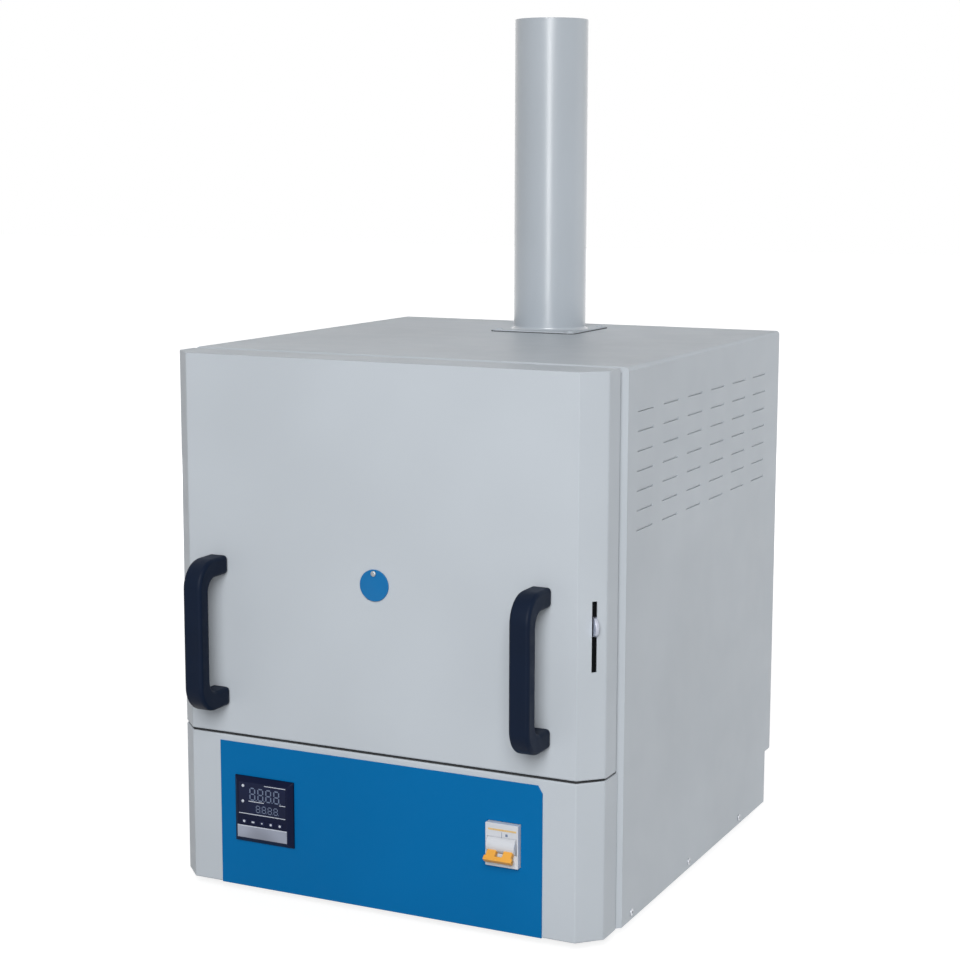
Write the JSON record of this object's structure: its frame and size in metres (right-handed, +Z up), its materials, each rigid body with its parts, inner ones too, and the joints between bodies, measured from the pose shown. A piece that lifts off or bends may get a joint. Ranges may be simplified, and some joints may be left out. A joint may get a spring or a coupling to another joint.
{
  "type": "muffle furnace",
  "caption": "Bench-top muffle furnace with a lift-up front door on parallel arms, bridge handles, control fascia and a rear chimney tube.",
  "frame": {"origin": "on the floor plane under the middle of the whole object, at the bottom centre of its bounding box", "axes": "+X to the right as seen from the front, +Y from the door towards the back, +Z up"},
  "size_m": [0.5032, 0.597, 0.942],
  "materials": {
    "grey_paint": "satin powder coat",
    "inner_steel": "zinc coated sheet",
    "blue_paint": "satin blue",
    "rubber": "matte",
    "screw_steel": "zinc plated",
    "fibre_board": "pressed ceramic fibre",
    "refractory": "unglazed refractory",
    "heating_alloy": "oxidised heating alloy",
    "chimney_paint": "gloss coat",
    "arm_steel": "zinc plated",
    "handle_plastic": "fine grained",
    "cover_blue": "smooth",
    "controller_plastic": "fine grained",
    "display_window": "dark window",
    "key_plastic": "smooth",
    "breaker_white": "smooth",
    "toggle_orange": "smooth",
    "slider_metal": "satin",
    "aluminium": "satin",
    "black_plastic": "smooth"
  },
  "bodies": {
    "cabinet": {"shell": "grey_paint", "base_tray": "inner_steel", "rear_panel": "inner_steel", "rear_cover": "grey_paint", "face_plate": "inner_steel", "divider": "inner_steel", "fascia": "grey_paint", "fascia_plate": "blue_paint", "feet": "rubber", "side_screws": "screw_steel", "rear_screws": "screw_steel", "muffle": "refractory", "insulation_top": "fibre_board", "insulation_base": "fibre_board", "insulation_left": "fibre_board", "insulation_right": "fibre_board", "insulation_rear": "fibre_board", "mouth_collar": "refractory", "hearth_plate": "refractory", "heater_left": "heating_alloy", "heater_right": "heating_alloy", "thermocouple": "refractory", "flue": "refractory", "chimney": "chimney_paint", "chimney_flange": "grey_paint", "flange_screws": "screw_steel", "hinge_bracket_left": "arm_steel", "hinge_bracket_right": "arm_steel", "balance_spring": "heating_alloy", "controller": "controller_plastic", "display": "display_window", "breaker": "breaker_white", "breaker_rail": "screw_steel", "heat_sink": "aluminium", "relay": "black_plastic", "cable_gland": "black_plastic"},
    "lift_arms": {"lift_shaft": "arm_steel", "arm_left": "arm_steel", "arm_right": "arm_steel"},
    "door": {"door_shell": "grey_paint", "door_liner": "inner_steel", "door_insulation": "fibre_board", "peephole_tube": "refractory", "peephole_screw": "screw_steel", "handle_left": "handle_plastic", "handle_right": "handle_plastic", "slider_guide": "inner_steel", "door_bracket_left": "arm_steel", "door_bracket_right": "arm_steel"},
    "idler_left": {"idler_left": "arm_steel"},
    "idler_right": {"idler_right": "arm_steel"},
    "peephole_cover": {"peephole_cover": "cover_blue"},
    "air_slider": {"air_slider": "slider_metal"},
    "toggle": {"toggle": "toggle_orange"},
    "key_1": {"key_1": "key_plastic"},
    "key_2": {"key_2": "key_plastic"},
    "key_3": {"key_3": "key_plastic"},
    "key_4": {"key_4": "key_plastic"},
    "key_5": {"key_5": "key_plastic"}
  },
  "joints": [
    {"name": "door_lift", "type": "hinge", "parent": "cabinet", "child": "lift_arms", "pos_m": [0, -0.1585, 0.484], "axis": [-1, 0, 0], "range_deg": [0, 125]},
    {"name": "door_level", "type": "hinge", "parent": "lift_arms", "child": "door", "pos_m": [0, -0.2295, 0.33506], "axis": [-1, 0, 0], "range_deg": [-125, 0]},
    {"name": "idler_left_swing", "type": "hinge", "parent": "cabinet", "child": "idler_left", "pos_m": [-0.206, -0.1585, 0.394], "axis": [-1, 0, 0], "range_deg": [0, 125]},
    {"name": "idler_right_swing", "type": "hinge", "parent": "cabinet", "child": "idler_right", "pos_m": [0.206, -0.1585, 0.394], "axis": [-1, 0, 0], "range_deg": [0, 125]},
    {"name": "peephole_swing", "type": "hinge", "parent": "door", "child": "peephole_cover", "pos_m": [0, -0.2448, 0.366], "axis": [0, -1, 0], "range_deg": [-110, 110]},
    {"name": "air_slide", "type": "slide", "parent": "door", "child": "air_slider", "axis": [0, 0, 1], "range_m": [-0.0347, 0.0147]},
    {"name": "toggle_swing", "type": "hinge", "parent": "cabinet", "child": "toggle", "pos_m": [0.147, -0.247, 0.1025], "axis": [-1, 0, 0], "range_deg": [0, 85]},
    {"name": "key_1_press", "type": "slide", "parent": "cabinet", "child": "key_1", "axis": [0, 1, 0], "range_m": [0, 0.0008], "stiffness_N_per_m": 400},
    {"name": "key_2_press", "type": "slide", "parent": "cabinet", "child": "key_2", "axis": [0, 1, 0], "range_m": [0, 0.0008], "stiffness_N_per_m": 400},
    {"name": "key_3_press", "type": "slide", "parent": "cabinet", "child": "key_3", "axis": [0, 1, 0], "range_m": [0, 0.0008], "stiffness_N_per_m": 400},
    {"name": "key_4_press", "type": "slide", "parent": "cabinet", "child": "key_4", "axis": [0, 1, 0], "range_m": [0, 0.0008], "stiffness_N_per_m": 400},
    {"name": "key_5_press", "type": "slide", "parent": "cabinet", "child": "key_5", "axis": [0, 1, 0], "range_m": [0, 0.0008], "stiffness_N_per_m": 400}
  ],
  "couplings": [
    {"joint": "door_level", "follows": "door_lift", "ratio": -1},
    {"joint": "idler_left_swing", "follows": "door_lift", "ratio": 1},
    {"joint": "idler_right_swing", "follows": "door_lift", "ratio": 1}
  ]
}
